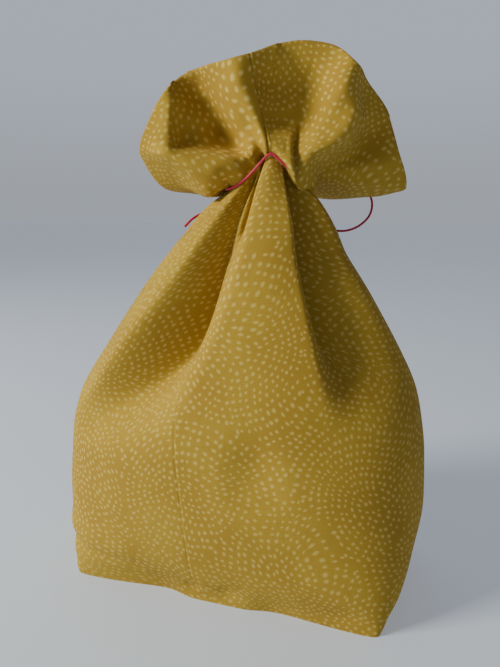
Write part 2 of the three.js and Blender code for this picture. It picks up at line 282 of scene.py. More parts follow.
RUFFLE_LINES = table(
    RuffleLine,
    (((-9, 3), (-34, 6), (-55, 9), (-57, 26), (-57, 32), (-56, 37)), 10, 17, 4),
    (((-20, 17), (-28, 28), (-41, 46)), -14, 17, 9),
    (((-30, 11), (-48, 13)), -6, 4, 9),
    (((-19, 12), (-28, 20)), -6, 6, 5),
    (((-6, 10), (-15, 27), (-20, 40), (-18, 52)), 7, 9, 9),
    (((4, 12), (3, 26), (4, 42)), -12, 12, 20),
    (((14, 23), (18, 31), (20, 42)), -8, 9, 10),
    (((8, 5), (22, 6), (35, 10), (44, 18), (48, 28), (47, 39), (49, 52)), 13, 13, 4),
    (((14, -3), (34, 1), (50, 8), (62, 20)), -8, 4, 12),
    (((24, -6), (69, 0)), 4, 10, 10),
    (((-72, 12), (-54, 5), (-34, -4)), 9, 12, 4.5),
)

# Where the ruffle sags over the tie.
DROOPS = table(
    Slack,
    (66, 0.15, 44, 0.15, 5, 15),
    (57, 0.13, 22, 0.13, 4, 0),
    (-92, 0.4, 48, 0.4, 0, 9),
)

CREASES = table(
    Crease,
    (-84, 26, -44, 18, 4.5, 1.5),
    (-84, 35, -46, 27, 6, -1.2),
    (-20, 14, -12, 3, 6, 2.2),
    (16, 15, 2, 4, 7, 2.0),
    (50, 16, 60, 5, 6, 1.6),
    (24, 112, 30, 84, 9, 1.4),
)

# Routes of the free cord, square on to the face: across, forward of the neck and above the tie.
LOOP_ROUTE = (
    (2.9, -20.3, -2.9), (7, -27, -7), (13, -39, -10), (24, -52, -9),
    (40, -58, -5), (55, -54, -4), (66, -46, -9), (70.5, -40, -18),
    (69, -37, -26.5), (62, -34, -33.5), (52, -32, -37), (40, -31, -35.5),
    (30, -31, -30.5), (18, -28, -21.5), (9, -25, -13.5), (2, -20.5, -5.3),
)

LEFT_ROUTE = (
    (-2.9, -20.3, -2.9), (-10, -24, -6), (-20, -27, -13), (-30, -27, -20),
    (-39, -24, -25), (-46, -20, -29), (-51, -17, -34),
)

BACK_ROUTE = (
    (0, -21, -5.1), (-2, -25, -10.5), (-5, -31, -20),
    (-8, -38, -33), (-10, -44, -48), (-9, -48.5, -62),
)

FACE = math.radians(SIZES.face_deg)
FACE_RIGHT = np.array([math.cos(FACE), math.sin(FACE), 0])
FACE_FRONT = np.array([math.sin(FACE), -math.cos(FACE), 0])
NECK = np.array([SIZES.neck_x, SIZES.neck_y, SIZES.tie_height])


def column(rows: Sequence[object], name: str) -> Array:
    """One named column of a table, as an array."""
    return np.array([getattr(row, name) for row in rows], float)


def ease(x: Array | float) -> Array:
    """A smooth step from 0 to 1."""
    x = np.clip(x, 0, 1)
    return x * x * (3 - 2 * x)


def swell(reach: Array | float) -> Array:
    """A round bump of height 1 that falls to 0 at a reach of 1."""
    return np.cos(np.clip(np.abs(reach), 0, 1) * np.pi / 2) ** 2


def aside(azimuth: Array, deg: float) -> Array:
    """Degrees from a place to azimuths, the shorter way round."""
    return (np.degrees(azimuth) - deg + 180) % 360 - 180


def outward(azimuth: Array) -> Array:
    """Level unit vectors that point outwards at azimuths."""
    return np.stack([np.sin(azimuth), -np.cos(azimuth), np.zeros_like(azimuth)], -1)


def running(steps: Array, axis: int = 0) -> Array:
    """Running sums along an axis, from 0."""
    return np.insert(np.cumsum(steps, axis), 0, 0, axis)


def run_lengths(line: Array) -> Array:
    """Length along a line to each of its points."""
    return running(norm(np.diff(line, axis=0), axis=1))


def hermite(t: Array | float) -> tuple:
    """Value and slope weights of a cubic between two knots."""
    return (2 * t**3 - 3 * t**2 + 1, t**3 - 2 * t**2 + t, 3 * t**2 - 2 * t**3, t**3 - t**2)


def cubic(x: Array, y: Array, slope: Array, at: Array | float) -> Array:
    """A smooth curve through a table.

    Args:
        x: Places of the rows, rising.
        y: Values of the rows, numbers or points.
        slope: Slopes of the rows.
        at: Places to read.

    Returns:
        The values there.
    """
    i = np.clip(np.searchsorted(x, at, side="right") - 1, 0, len(x) - 2)
    span = x[i + 1] - x[i]
    t = (at - x[i]) / span
    if y.ndim > 1:
        span, t = span[:, None], t[:, None]
    a, b, c, d = hermite(t)
    return a * y[i] + b * span * slope[i] + c * y[i + 1] + d * span * slope[i + 1]


def monotone(x: Array, y: Array, at: float) -> float:
    """A cubic through a table that turns only at its rows.

    Args:
        x: Places of the rows, rising.
        y: Values of the rows.
        at: Place to read.

    Returns:
        The value there.
    """
    step = np.diff(x)
    rise = np.diff(y) / step
    slope = np.concatenate([rise[:1], np.zeros(len(x) - 2), rise[-1:]])
    for i in range(1, len(x) - 1):
        if rise[i - 1] * rise[i] > 0:
            before = 2 * step[i] + step[i - 1]
            after = step[i] + 2 * step[i - 1]
            slope[i] = (before + after) / (before / rise[i - 1] + after / rise[i])
    return cubic(x, y, slope, at)


def face_points(rows: Sequence[Sequence[float]], start: Array = NECK) -> Array:
    """Points of the frame from places seen square on to the ruffle's face.

    Args:
        rows: How far each place lies to the right of the start, forward of it and above it.
        start: Where they are measured from, if not from the middle of the tie.

    Returns:
        One point a row, in millimetres.
    """
    across, forward, rise = np.array(rows, float).T[:, :, None]
    return start + across * FACE_RIGHT + forward * FACE_FRONT + rise * UP


def placed(name: str, data: bpy.types.ID) -> bpy.types.Object:
    """A new object in the scene.

    Args:
        name: Name of the object.
        data: The mesh, light or camera that it shows.

    Returns:
        The object.
    """
    thing = bpy.data.objects.new(name, data)
    bpy.context.scene.collection.objects.link(thing)
    return thing


def smooth_mesh(name: str, points: Array, faces: list) -> bpy.types.Mesh:
    """A new mesh with smooth shading.

    Args:
        name: Name of the mesh.
        points: Its points, one a row.
        faces: The rows at each face's corners.

    Returns:
        The mesh.
    """
    mesh = bpy.data.meshes.new(name)
    mesh.from_pydata(points.tolist(), [], faces, shade_flat=False)
    return mesh


@dataclass(frozen=True)
class PouchShape:
    """The draped form of the cloth, worked out from its sections, folds and rim."""

    lift_deg: float = 22.0
    lift_front: float = 6.0
    lift_sides: float = -12.0
    lift_back: float = -3.0
    lift_round: float = 0.12
    lift_from: float = 195.0
    ruffle_up: float = 0.56
    ruffle_out: float = 0.42
    face_share: float = 0.28
    face_fade: float = 0.08
    push_from: float = 0.28
    push_power: float = 1.5
    rim_ease: float = 0.5
    rim_from: float = 0.72
    crest_round: float = 1.5
    outline_steps: int = 1440

    def section(self, height: float) -> Section:
        """The cross-section at a height.

        Args:
            height: Height above the base.

        Returns:
            A section between the rows of the table.
        """
        heights = column(SECTIONS, "height")
        names = [name for name in Section.__dataclass_fields__ if name != "height"]
        return Section(height, *(monotone(heights, column(SECTIONS, name), height) for name in names))

    def outline(self, section: Section, azimuth: Array) -> Array:
        """The smooth outline of a section, without its folds.

        Args:
            section: The section.
            azimuth: Places round it.

        Returns:
            The radius at each place.
        """
        across = np.abs(np.sin(azimuth) / section.half_width) ** section.squareness
        along = np.abs(np.cos(azimuth) / section.half_depth) ** section.squareness
        return (across + along) ** (-1 / section.squareness)

    def azimuths(self, section: Section, shares: Array) -> Array:
        """Where shares of the cloth lie on a section, spread by the length of its outline.

        Args:
            section: The section.
            shares: Places round the cloth.

        Returns:
            The azimuth of each share.
        """
        turn = np.radians(section.seam_deg) + np.linspace(0, TURN, self.outline_steps + 1)
        lengths = run_lengths(self.outline(section, turn)[:, None] * outward(turn))
        return np.interp((shares % 1.0) * lengths[-1], lengths, turn)

    def tie_lift(self, azimuth: Array) -> Array:
        """How much higher than its mean the tie lies.

        Args:
            azimuth: Places round the neck.

        Returns:
            The lift at each place, negative where the tie is lower.
        """
        turn = azimuth - math.radians(self.lift_deg)
        top = np.where(np.cos(turn) > 0, self.lift_front, self.lift_back)
        fall = np.sqrt(np.sin(turn) ** 2 + self.lift_round**2) - self.lift_round
        return top + (self.lift_sides - top) * fall / (math.hypot(1, self.lift_round) - self.lift_round)

    def ring(self, shares: Array, height: float) -> tuple[Array, Array]:
        """The body at a height.

        Args:
            shares: Places round the cloth.
            height: Height above the base.

        Returns:
            The points and their azimuths.
        """
        section = self.section(height)
        azimuth = self.azimuths(section, shares)
        radius = self.outline(section, azimuth)
        radius *= 1 - sum(fold.cut(height, azimuth) for fold in FOLDS + RIDGES)
        radius += sum(dent.out * dent.felt(azimuth, height) for dent in DENTS)
        lift = self.tie_lift(azimuth) * ease((height - self.lift_from) / (SIZES.tie_height - self.lift_from))
        centre = np.array([section.centre_x, section.centre_y, height])
        return centre + radius[:, None] * outward(azimuth) + lift[:, None] * UP, azimuth

    def rim(self, shares: Array) -> Array:
        """The rim as a smooth closed curve through its places.

        Args:
            shares: Places round the cloth.

        Returns:
            A point for each share.
        """
        knots = column(RIM, "share")
        points = face_points([(row.across, row.forward, row.rise) for row in RIM])
        x = np.concatenate([knots[-2:] - 1, knots, knots[:2] + 1])
        y = np.concatenate([points[-2:], points, points[:2]])
        slope = np.zeros_like(y)
        slope[1:-1] = (y[2:] - y[:-2]) / (x[2:] - x[:-2])[:, None]
        return cubic(x, y, slope, knots[0] + (shares - knots[0]) % 1.0)

    def ruffle(self, shares: Array, part: float) -> Array:
        """The ruffle between the tie and the rim.

        Args:
            shares: Places round the cloth.
            part: Part of its length, from 0 at the tie to 1 at the rim.

        Returns:
            A point for each share.
        """
        start, azimuth = self.ring(shares, SIZES.tie_height)
        end = self.rim(shares)
        chord = norm(end - start, axis=1)[:, None]
        out = outward(azimuth)
        leave = self.ruffle_out * out + self.ruffle_up * UP
        a, b, c, d = hermite(part)
        points = a * start + b * leave * chord + c * end + d * (end - start)
        away = np.abs((shares + 0.5) % 1.0 - 0.5)
        front = 1 - ease((away - self.face_share) / self.face_fade)
        near_rim = ease((part - self.rim_from) / (1 - self.rim_from))
        fade = ease(part / self.push_from) * (1 - self.rim_ease * near_rim)
        push = self.ruffle_push(points) * front * fade
        points = points + push[:, None] * FACE_FRONT
        for droop in DROOPS:
            felt = droop.felt(azimuth, part)[:, None]
            points = points + felt * (droop.out * out - droop.down * UP)
        return points

    def ruffle_push(self, points: Array) -> Array:
        """How far the crests and hollows push the ruffle forward.

        Args:
            points: Points of the ruffle.

        Returns:
            The push at each point, negative in a hollow.
        """
        offset = points - NECK
        spots = np.stack([(offset * FACE_RIGHT).sum(1), offset[:, 2]], -1)
        push = np.zeros(len(points))
        for line in RUFFLE_LINES:
            best = np.full(len(points), np.inf)
            side = np.zeros(len(points))
            for start, end in zip(line.places, line.places[1:]):
                run = np.subtract(end, start)
                gap = spots - np.array(start)
                along = np.clip(gap @ run / (run @ run), 0, 1)
                gap = gap - along[:, None] * run
                away = norm(gap, axis=1)
                left = run[0] * gap[:, 1] - run[1] * gap[:, 0]
                side = np.where(away < best, left, side)
                best = np.minimum(away, best)
            reach = np.where(side > 0, line.left, line.right)
            away = np.hypot(best, self.crest_round) - self.crest_round
            push += line.push * np.exp(-((away / reach) ** self.push_power))
        return push


@dataclass
class ClothGrid:
    """Points of the cloth in rows from the base to the rim, with what the relief and print need."""

    points: Array
    azimuth: Array
    heights: Array
    parts: Array
    shares: Array

    def normals(self) -> Array:
        """Outward directions, from each point's neighbours.

        Returns:
            A unit vector for each point.
        """
        round_step = np.roll(self.points, -1, 1) - np.roll(self.points, 1, 1)
        normal = np.cross(round_step, np.gradient(self.points, axis=0))
        return normal / norm(normal, axis=2, keepdims=True)

    def round_lengths(self) -> Array:
        """Length along each row from the seam, and once round at the end."""
        return running(norm(np.roll(self.points, -1, 1) - self.points, axis=2), 1)

    def up_lengths(self) -> Array:
        """Length along each column from the base."""
        return running(norm(np.diff(self.points, axis=0), axis=2))


@dataclass
class PouchCloth:
    """The printed cotton: body, boxed base and ruffle in one thin sheet."""

    shape: PouchShape
    seam_columns: int = 8
    seam_step: float = 0.45
    plain_columns: int = 314
    body_rows: int = 98
    ruffle_rows: int = 46
    body_crowding: float = 0.5
    seam_depth: float = 0.9
    seam_width: float = 0.55
    lip_height: float = 0.2
    lip_place: float = 1.1
    lip_width: float = 0.6
    body_seam: float = 0.32
    crease_ends: Pair = (0.12, 0.88)
    crease_taper: float = 0.7
    sway_height: float = 0.45
    sway_waves: int = 7
    sway_seed: int = 11
    sway_turns: tuple[int, int] = (3, 12)
    sway_lengths: Pair = (45.0, 120.0)
    sway_from: float = 25.0
    smooth_columns: int = 9
    anchor_shares: Pair = (0.06, 0.84)
    split_share: float = 0.5

    def shares(self) -> Array:
        """Places of the mesh columns, close together at the seam.

        Returns:
            The shares, rising from 0.
        """
        close = np.arange(self.seam_columns + 1) * self.seam_step / SIZES.cloth_round
        plain = np.linspace(close[-1], 1 - close[-1], self.plain_columns + 1)[1:-1]
        return np.concatenate([close, plain, 1 - close[:0:-1]])

    def grid(self) -> ClothGrid:
        """The cloth's outer face, still smooth.

        Returns:
            Its points and what goes with them.
        """
        shares = self.shares()
        even = np.linspace(0, 1, self.body_rows + 1)
        heights = SIZES.tie_height * (even - self.body_crowding * np.sin(TURN * even) / TURN)
        parts = np.linspace(0, 1, self.ruffle_rows + 1)[1:]
        rings = [self.shape.ring(shares, height) for height in heights]
        points = [ring[0] for ring in rings] + [self.shape.ruffle(shares, part) for part in parts]
        azimuth = [ring[1] for ring in rings] + [rings[-1][1]] * self.ruffle_rows
        all_parts = np.concatenate([np.zeros(len(heights)), parts])
        return ClothGrid(np.array(points), np.array(azimuth), heights, all_parts, shares)

    def seam_relief(self, grid: ClothGrid) -> Array:
        """The seam's groove and the lip on its right.

        Args:
            grid: The smooth cloth.

        Returns:
            How far each point moves outwards.
        """
        lengths = grid.round_lengths()
        away = lengths[:, :-1]
        away = np.where(away > lengths[:, -1:] / 2, away - lengths[:, -1:], away)
        groove = self.seam_depth * np.exp(-((away / self.seam_width) ** 2))
        lip = self.lip_height * np.exp(-(((away - self.lip_place) / self.lip_width) ** 2))
        return (lip - groove) * np.where(grid.parts > 0, 1.0, self.body_seam)[:, None]

    def crease_relief(self, grid: ClothGrid) -> Array:
        """The listed creases on the body.

        Args:
            grid: The smooth cloth.

        Returns:
            How far each point moves outwards.
        """
        relief = np.zeros_like(grid.azimuth)
        radius = norm(grid.points[:, :, :2], axis=2)
        body = grid.parts[:, None] == 0
        for crease in CREASES:
            x = np.radians(aside(grid.azimuth, crease.start_deg)) * radius
            y = grid.points[:, :, 2] - crease.start_height
            end_x = np.radians(crease.end_deg - crease.start_deg) * radius
            end_y = crease.end_height - crease.start_height
            along = np.clip((x * end_x + y * end_y) / (end_x**2 + end_y**2), 0, 1)
            away = np.hypot(x - along * end_x, y - along * end_y)
            taper = np.sin(np.pi * np.clip(along, *self.crease_ends)) ** self.crease_taper
            relief -= np.where(body, crease.depth * taper * np.exp(-((away / crease.width) ** 2)), 0)
        return relief

    def sway_relief(self, grid: ClothGrid) -> Array:
        """Slow uneven waves that keep the cloth from lying too smooth.

        Args:
            grid: The smooth cloth.

        Returns:
            How far each point moves outwards.
        """
        draws = np.random.default_rng(self.sway_seed)
        up = grid.up_lengths()
        relief = np.zeros_like(up)
        for _ in range(self.sway_waves):
            turns = draws.integers(*self.sway_turns)
            length = draws.uniform(*self.sway_lengths)
            phase = draws.uniform(0, TURN, 2)
            across = np.sin(TURN * turns * grid.shares + phase[0])
            relief += across[None, :] * np.sin(TURN * up / length + phase[1])
        return self.sway_height * ease(up / self.sway_from) * relief / math.sqrt(self.sway_waves)

    def draped(self) -> ClothGrid:
        """The cloth with its seam, creases and slow waves.

        Returns:
            The draped cloth.
        """
        grid = self.grid()
        relief = self.crease_relief(grid) + self.sway_relief(grid) + self.seam_relief(grid)
        relief[0] = 0
        grid.points = grid.points + relief[:, :, None] * grid.normals()
        grid.points[0, :, 2] = 0
        return grid

    def print_map(self, grid: ClothGrid) -> Array:
        """Places on the flat cloth for the corners of each outer face.

        On the body, cloth that is hidden in a gathered valley is left out between two neighbouring folds,
        so the print keeps its size on the folds that show. The ruffle is laid flat in two patches.

        Args:
            grid: The draped cloth.

        Returns:
            An array of rows, columns, four corners and two places in metres.
        """
        lengths = grid.round_lengths()
        up = grid.up_lengths()
        kernel = np.ones(2 * self.smooth_columns + 1) / (2 * self.smooth_columns + 1)
        padded = np.concatenate([up[:, -self.smooth_columns :], up, up[:, : self.smooth_columns]], 1)
        up = np.array([np.convolve(row, kernel, "valid") for row in padded])
        rows, count = grid.azimuth.shape
        shares = np.append(grid.shares, 1.0)
        middles = (shares[1:] + shares[:-1]) / 2
        anchors = np.searchsorted(grid.shares, self.anchor_shares)
        anchor = anchors[(middles > self.split_share).astype(int)]
        places = np.zeros((rows - 1, count, 4, 2))
        for row in range(self.body_rows):
            valleys, formed = self.valley_shares(grid, row)
            ridges = (valleys + np.append(valleys[1:], valleys[0] + 1)) / 2
            edges = np.append(ridges[-1] - 1, ridges)
            turns = np.floor(edges)
            runs = np.interp(edges - turns, shares, lengths[row]) + turns * lengths[row, -1]
            hidden = formed * (SIZES.cloth_round * np.diff(edges) - np.diff(runs))
            passed = (hidden * (middles[:, None] > valleys)).sum(1)
            for corner, (above, right) in enumerate(((0, 0), (0, 1), (1, 1), (1, 0))):
                line = np.arange(count) + right
                run = lengths[row + above, line] - lengths[row + above, anchor] + passed - passed[anchor]
                places[row, :, corner, 0] = SIZES.cloth_round * shares[anchor] + run
                places[row, :, corner, 1] = up[row + above, line % count]
        half = int(np.searchsorted(grid.shares, self.split_share))
        ruffle = np.concatenate([grid.points, grid.points[:, :1]], 1)[self.body_rows :]
        places[self.body_rows :, :half] = self.flattened(ruffle[:, : half + 1])
        places[self.body_rows :, half:] = self.flattened(ruffle[:, half:])
        return places * MM

    @staticmethod
    def flattened(points: Array) -> Array:
        """A patch of cloth laid flat, keeping its angles and its whole area.

        Args:
            points: Rows and columns of its points.

        Returns:
            An array of rows, columns, four corners and two places, in the unit of the points.
        """
        rows, count = points.shape[:2]
        index = np.arange(rows * count).reshape(rows, count)
        quads = np.stack([index[:-1, :-1], index[:-1, 1:], index[1:, 1:], index[1:, :-1]], -1)
        mesh = smooth_mesh("patch", points.reshape(-1, 3), quads.reshape(-1, 4).tolist())
        mesh.uv_layers.new(name=CLOTH_MAP)
        patch = placed("patch", mesh)
        bpy.ops.object.select_all(action="DESELECT")
        patch.select_set(True)
        bpy.context.view_layer.objects.active = patch
        bpy.ops.object.mode_set(mode="EDIT")
        bpy.ops.mesh.select_all(action="SELECT")
        bpy.ops.uv.unwrap(method="ANGLE_BASED", margin=0.0)
        bpy.ops.object.mode_set(mode="OBJECT")
        flat = np.zeros(2 * len(mesh.loops), np.float32)
        mesh.uv_layers[CLOTH_MAP].uv.foreach_get("vector", flat)
        flat = flat.reshape(-1, 4, 2).astype(float)
        across = flat[:, 2] - flat[:, 0]
        along = flat[:, 3] - flat[:, 1]
        flat_area = np.abs(across[:, 0] * along[:, 1] - across[:, 1] * along[:, 0]).sum() / 2
        area = sum(face.area for face in mesh.polygons)
        bpy.data.objects.remove(patch)
        bpy.data.meshes.remove(mesh)
        return (flat * math.sqrt(area / flat_area)).reshape(rows - 1, count - 1, 4, 2)

    @staticmethod
    def valley_shares(grid: ClothGrid, row: int) -> Array:
        """The fold valleys that cross a row, in rising order.

        Args:
            grid: The draped cloth.
            row: A row of its body.

        Returns:
            The valleys' shares, and how far each fold has formed.
        """
        height = grid.heights[row]
        start = grid.azimuth[row, 0]
        turns = np.append(grid.azimuth[row] - start, TURN)
        shares = np.append(grid.shares, 1.0)
        found = []
        for fold in FOLDS:
            turn = (math.radians(fold.deg(height)) - start) % TURN
            found.append((np.interp(turn, turns, shares), float(ease(2 * fold.up(height)))))
        return np.array(sorted(found)).T

    @staticmethod
    def inside(grid: ClothGrid) -> Array:
        """The cloth's inner face, whose foot stays level above the base.

        Args:
            grid: The draped cloth.

        Returns:
            Its points, in the same rows.
        """
        inner = grid.points - SIZES.thickness * grid.normals()
        level = grid.points[0] - inner[0]
        level[:, 2] = 0
        level /= norm(level, axis=1, keepdims=True)
        inner[0] = grid.points[0] - SIZES.thickness * level
        inner[0, :, 2] = SIZES.thickness
        return inner

    def build(self) -> bpy.types.Object:
        """The sheet as a closed mesh with its print map.

        Returns:
            The cloth object, in metres.
        """
        grid = self.draped()
        rows, count = grid.azimuth.shape
        shift = rows * count
        index = np.arange(shift).reshape(rows, count)
        right = np.roll(index, -1, 1)
        quads = np.stack([index[:-1], right[:-1], right[1:], index[1:]], -1).reshape(-1, 4)
        wrong_side = quads[:, [1, 0, 3, 2]] + shift
        rim = np.stack([index[-1], right[-1], right[-1] + shift, index[-1] + shift], -1)
        bottom = index[0][::-1].tolist()
        floor = (index[0] + shift).tolist()
        faces = [*quads.tolist(), *wrong_side.tolist(), *rim.tolist(), bottom, floor]
        points = np.concatenate([grid.points, self.inside(grid)]).reshape(-1, 3)
        mesh = smooth_mesh("pouch_cloth_sheet", points * MM, faces)
        places = self.print_map(grid)
        flat = grid.points[0, :, :2] * MM
        maps = [places, places[:, :, [1, 0, 3, 2]], places[-1][:, [3, 2, 2, 3]], flat[::-1], flat]
        corners = np.concatenate([part.reshape(-1, 2) for part in maps]).astype(np.float32)
        mesh.uv_layers.new(name=CLOTH_MAP).uv.foreach_set("vector", corners.ravel())
        sides = np.full(len(faces), Side.FACE.value, np.int32)
        sides[len(quads) : 2 * len(quads)] = Side.WRONG.value
        sides[-1] = Side.WRONG.value
        mesh.polygons.foreach_set("material_index", sides)
        ends = np.zeros(2 * len(mesh.edges), np.int32)
        mesh.edges.foreach_get("vertices", ends)
        foot = (ends.reshape(-1, 2) % shift < count).all(1)
        sharp = mesh.attributes.new("sharp_edge", "BOOLEAN", "EDGE")
        sharp.data.foreach_set("value", foot)
        mesh.update()
        return placed("pouch_cloth_sheet", mesh)


@dataclass
class TieCord:
    """The thin twisted cord: a band round the neck, a knot behind it, a loop and two free ends."""

    shape: PouchShape
    sides: int = 12
    step: float = 0.6
    plies: int = 2
    twist: float = 5.0
    ply_depth: float = 0.12
    side_hint: Triple = (0.3, 0.2, 1.0)
    knot_deg: float = SIZES.face_deg + 180
    knot_size: Triple = (5.6, 4.2, 4.8)
    knot_cord: float = 0.72
    knot_points: int = 160
    band_gap_deg: float = 4.0
    band_points: int = 180
    route_points: int = 400
    least_points: int = 12

    def tie_points(self, azimuth: Array, reach: float) -> Array:
        """Points round the tie, at a reach outside the clearance of the neck's smooth outline."""
        radius = self.shape.outline(self.shape.section(SIZES.tie_height), azimuth) + SIZES.band_clear + reach
        return NECK + radius[:, None] * outward(azimuth) + self.shape.tie_lift(azimuth)[:, None] * UP

    def band_route(self) -> Array:
        """The band's middle line, drawn tight over the folds of the neck."""
        turn = np.linspace(self.band_gap_deg, 360 - self.band_gap_deg, self.band_points)
        return self.tie_points(np.radians(self.knot_deg + turn), SIZES.cord / 2)

    def knot_route(self) -> Array:
        """A small overhand knot behind the neck, drawn up tight.

        Returns:
            Points of its closed middle line.
        """
        t = np.linspace(0, TURN, self.knot_points, endpoint=False)
        loops = np.stack([np.sin(t) + 2 * np.sin(2 * t), np.sin(3 * t), np.cos(t) - 2 * np.cos(2 * t)], -1)
        room = (np.array(self.knot_size) - SIZES.cord * self.knot_cord) / 2
        centre = self.tie_points(np.radians([self.knot_deg]), self.knot_size[1] / 2)
        return face_points(loops * (room / np.abs(loops).max(0)), centre)

    def smooth_route(self, places: Sequence[Sequence[float]]) -> Array:
        """A smooth line through the places of a route, in even steps.

        Args:
            places: The route's places, square on to the face.

        Returns:
            Points of the line.
        """
        knots = face_points(places)
        x = running(np.sqrt(norm(np.diff(knots, axis=0), axis=1)))
        line = cubic(x, knots, np.gradient(knots, x, axis=0), np.linspace(0, x[-1], self.route_points))
        lengths = run_lengths(line)
        even = np.linspace(0, lengths[-1], max(int(lengths[-1] / self.step), self.least_points))
        return np.stack([np.interp(even, lengths, line[:, k]) for k in range(3)], -1)

    def tube(self, name: str, line: Array, thick: float = 1.0, closed: bool = False) -> bpy.types.Object:
        """A twisted cord along a line.

        Args:
            name: Name of the piece.
            line: Points of its middle line, in millimetres.
            thick: Its thickness as a part of the cord's.
            closed: Whether its end meets its start.

        Returns:
            The cord object, in metres.
        """
        along = np.roll(line, -1, 0) - np.roll(line, 1, 0) if closed else np.gradient(line, axis=0)
        along /= norm(along, axis=1, keepdims=True)
        side = np.cross(along[0], self.side_hint)
        angle = TURN * np.arange(self.sides) / self.sides
        rings = []
        for point, way, length in zip(line, along, run_lengths(line)):
            side = side - way * (side @ way)
            side /= norm(side)
            turned = self.plies * (angle - TURN * length / self.twist)
            radius = thick * SIZES.cord / 2 * (1 - self.ply_depth * (0.5 - 0.5 * np.cos(turned)))
            ring = np.outer(np.cos(angle), side) + np.outer(np.sin(angle), np.cross(way, side))
            rings.append(point + radius[:, None] * ring)
        index = np.arange(len(line) * self.sides).reshape(-1, self.sides)
        ahead = np.roll(index, -1, 0)
        quads = np.stack([index, np.roll(index, -1, 1), np.roll(ahead, -1, 1), ahead], -1)
        if closed:
            faces = quads.reshape(-1, 4).tolist()
        else:
            faces = [*quads[:-1].reshape(-1, 4).tolist(), index[0, ::-1].tolist(), index[-1].tolist()]
        return placed(name, smooth_mesh(name, np.array(rings).reshape(-1, 3) * MM, faces))


@dataclass(frozen=True)
class Wire:
    """A value that runs between nodes, with the usual sums on numbers."""

    graph: "NodeGraph"
    socket: bpy.types.NodeSocket

    def math(self, operation: str, other: object = 0.0) -> "Wire":
        """The result of an operation on this number and another."""
        return self.graph.wire("Math", {0: self, 1: other}, operation=operation)

    def __add__(self, other: object) -> "Wire":
        """The sum of two numbers."""
        return self.math("ADD", other)

    def __sub__(self, other: object) -> "Wire":
        """The difference of two numbers."""
        return self.math("SUBTRACT", other)

    def __mul__(self, other: object) -> "Wire":
        """The product of two numbers."""
        return self.math("MULTIPLY", other)

    def __truediv__(self, other: object) -> "Wire":
        """One number divided by another."""
        return self.math("DIVIDE", other)


class NodeGraph:
    """Small helpers that lay out one tree of nodes."""

    def __init__(self, tree: bpy.types.NodeTree) -> None:
        """Take the tree that new nodes are added to."""
        self.tree = tree

    def feed(self, node: bpy.types.Node, values: dict[str | int, object]) -> None:
        """Link inputs of a node to wires, or give them constants.

        Args:
            node: The node.
            values: A wire or a constant for each input.
        """
        for name, value in values.items():
            if isinstance(value, Wire):
                self.tree.links.new(value.socket, node.inputs[name])
            else:
                node.inputs[name].default_value = value

    def wire(self, kind: str, values: dict, output: str | int = 0, **settings: str) -> Wire:
        """One output of a new node.

        Args:
            kind: Kind of node.
            values: A wire or a constant for each input.
            output: Which output.
            **settings: Settings of the node.

        Returns:
            The output.
        """
        node = self.tree.nodes.new(f"ShaderNode{kind}")
        for name, value in settings.items():
            setattr(node, name, value)
        self.feed(node, values)
        return Wire(self, node.outputs[output])

    def vector(self, operation: str, first: Wire, second: object) -> Wire:
        """The result of a sum on two vectors."""
        output = "Value" if operation == "DOT_PRODUCT" else "Vector"
        return self.wire("VectorMath", {0: first, 1: second}, output, operation=operation)

    def join(self, x: Wire, y: Wire, z: object = 0.0) -> Wire:
        """A vector from its parts."""
        return self.wire("CombineXYZ", {0: x, 1: y, 2: z})

    def split(self, vector: Wire) -> list[Wire]:
        """The parts of a vector."""
        node = self.wire("SeparateXYZ", {0: vector}).socket.node
        return [Wire(self, socket) for socket in node.outputs]

    def spread(self, value: Wire, old: Pair, new: Pair = (0.0, 1.0)) -> Wire:
        """A number moved smoothly from one range to another."""
        values = {"Value": value, "From Min": old[0], "From Max": old[1], "To Min": new[0], "To Max": new[1]}
        return self.wire("MapRange", values, interpolation_type="SMOOTHSTEP")

    def noise(self, vector: Wire, scale: float, detail: float = 2.0, output: str = "Fac") -> Wire:
        """Cloudy noise over a vector."""
        return self.wire("TexNoise", {"Vector": vector, "Scale": scale, "Detail": detail}, output)

    def mix(self, factor: Wire, first: object, second: object) -> Wire:
        """A mix of two colours."""
        return self.wire("Mix", {"Factor": factor, "A": first, "B": second}, "Result", data_type="RGBA")

    def bump(self, height: Wire, strength: float, distance: float) -> Wire:
        """A normal pushed about by a height."""
        return self.wire("Bump", {"Strength": strength, "Distance": distance, "Height": height})


class MaterialGraph(NodeGraph):
    """The nodes of one new material."""

    def __init__(self, name: str) -> None:
        """Start a material with nothing but its shader.

        Args:
            name: Name of the material.
        """
        self.material = bpy.data.materials.new(name)
        self.material.use_nodes = True
        super().__init__(self.material.node_tree)
        self.tree.nodes.clear()
        surface = self.wire("BsdfPrincipled", {})
        self.shader = surface.socket.node
        self.feed(self.tree.nodes.new("ShaderNodeOutputMaterial"), {"Surface": surface})

    def dress(self, finish: dict[str, object]) -> bpy.types.Material:
        """The material, its shader's inputs set to a finish."""
        self.feed(self.shader, finish)
        return self.material


